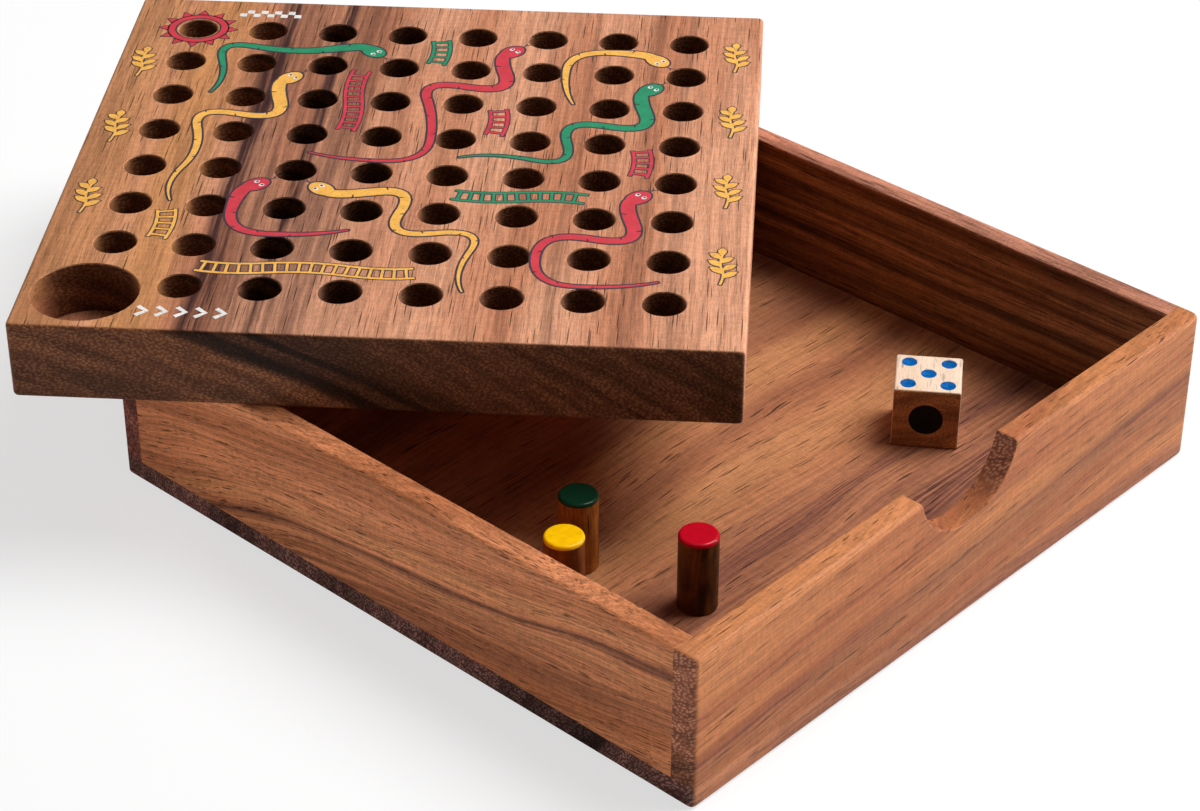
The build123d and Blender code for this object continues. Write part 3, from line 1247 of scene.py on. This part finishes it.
@dataclass
class Studio:
    """A white table under a soft box at the right, two low fills and the photograph's camera."""

    lamps: tuple[SoftBox, ...] = (
        SoftBox("soft_box_right", (0.63, -0.30, 1.12), (0, 0, 0), 0.8, 20.3),
        SoftBox("low_fill_right", (1.1, -0.85, 0.13), (0, 0, 0.02), 0.3, 10.0),
        SoftBox("low_fill_left", (-1.3, 0.35, 0.14), (0, 0, 0.02), 0.26, 3.5),
    )
    room_light: float = 0.12
    camera_place: Triple = (-0.38233, -0.33715, 0.35084)
    camera_target: Triple = (-0.01121, 0.00575, 0.0163)
    camera_roll_degrees: float = 0.173
    lens_mm: float = 92.57
    floor_side: float = 6.0
    floor_white: tuple[float, float, float, float] = (0.88, 0.88, 0.88, 1)
    floor_lift: float = 0.65

    def build(self) -> list[str]:
        """Sets up the floor, the lamps, the world, the view and the camera.

        Returns:
            The names of the stage pieces.
        """
        self._floor()
        self._world()
        for lamp in self.lamps:
            lamp.hang()
        self._camera()
        bpy.context.scene.view_settings.view_transform = "Standard"
        return ["floor"]

    def _floor(self) -> None:
        """Lays a white floor, lifted to the camera alone, that still takes the object's shadow."""
        mesh = bpy.data.meshes.new("floor")
        form = bmesh.new()
        bmesh.ops.create_grid(form, x_segments=1, y_segments=1, size=self.floor_side / 2)
        form.to_mesh(mesh)
        form.free()
        floor = bpy.data.objects.new("floor", mesh)
        bpy.context.scene.collection.objects.link(floor)
        white = (1.0, 1.0, 1.0, 1)
        material, tree = new_material("white_table")
        seen = add_node(tree, "LightPath").outputs["Is Camera Ray"]
        colour = add_node(tree, "Mix", COLOUR, {0: seen, MIX_A: self.floor_white, MIX_B: white})
        paper = add_node(tree, "BsdfDiffuse", {}, {"Color": colour.outputs[MIX_OUT]})
        glow = add_node(tree, "Emission", {}, {"Color": white, "Strength": 1.0})
        lift = add_node(tree, "Math", TIMES, (seen, self.floor_lift))
        lifted = add_node(tree, "MixShader", {}, (lift, paper, glow))
        add_node(tree, "OutputMaterial", {}, {"Surface": lifted})
        dress(floor, material)

    def _world(self) -> None:
        """Dims the room, and shows white where the camera looks past the floor."""
        world = bpy.data.worlds.new("studio")
        world.use_nodes = True
        tree = world.node_tree
        tree.nodes.clear()
        seen = add_node(tree, "LightPath").outputs["Is Camera Ray"]
        level = add_node(tree, "MapRange", {}, (seen, 0.0, 1.0, self.room_light, 1.0))
        light = add_node(tree, "Background", {}, {"Color": (1, 1, 1, 1), "Strength": level})
        add_node(tree, "OutputWorld", {}, {"Surface": light})
        bpy.context.scene.world = world

    def _camera(self) -> None:
        """Places the camera where the photograph was taken from."""
        data = bpy.data.cameras.new("camera")
        data.lens = self.lens_mm
        data.sensor_width = 36.0
        data.clip_start, data.clip_end = 0.01, 50.0
        camera = bpy.data.objects.new("camera", data)
        bpy.context.scene.collection.objects.link(camera)
        place = Vector(self.camera_place)
        sight = (Vector(self.camera_target) - place).to_track_quat("-Z", "Y").to_matrix()
        roll = Matrix.Rotation(radians(self.camera_roll_degrees), 3, "Z")
        camera.rotation_mode = "QUATERNION"
        camera.rotation_quaternion = (sight @ roll).to_quaternion()
        camera.location = place
        bpy.context.scene.camera = camera


def main() -> None:
    """Builds every part of the picture in order and reports it."""
    logging.basicConfig(level=logging.INFO, format="%(message)s")
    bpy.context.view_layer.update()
    board = GameBoard()
    for part in (WoodenBox(), board, Pegs(), Die(), PrintedGame(board), Studio()):
        for name in part.build():
            log.info("%s is ready", name)


if __name__ == "__main__":
    main()
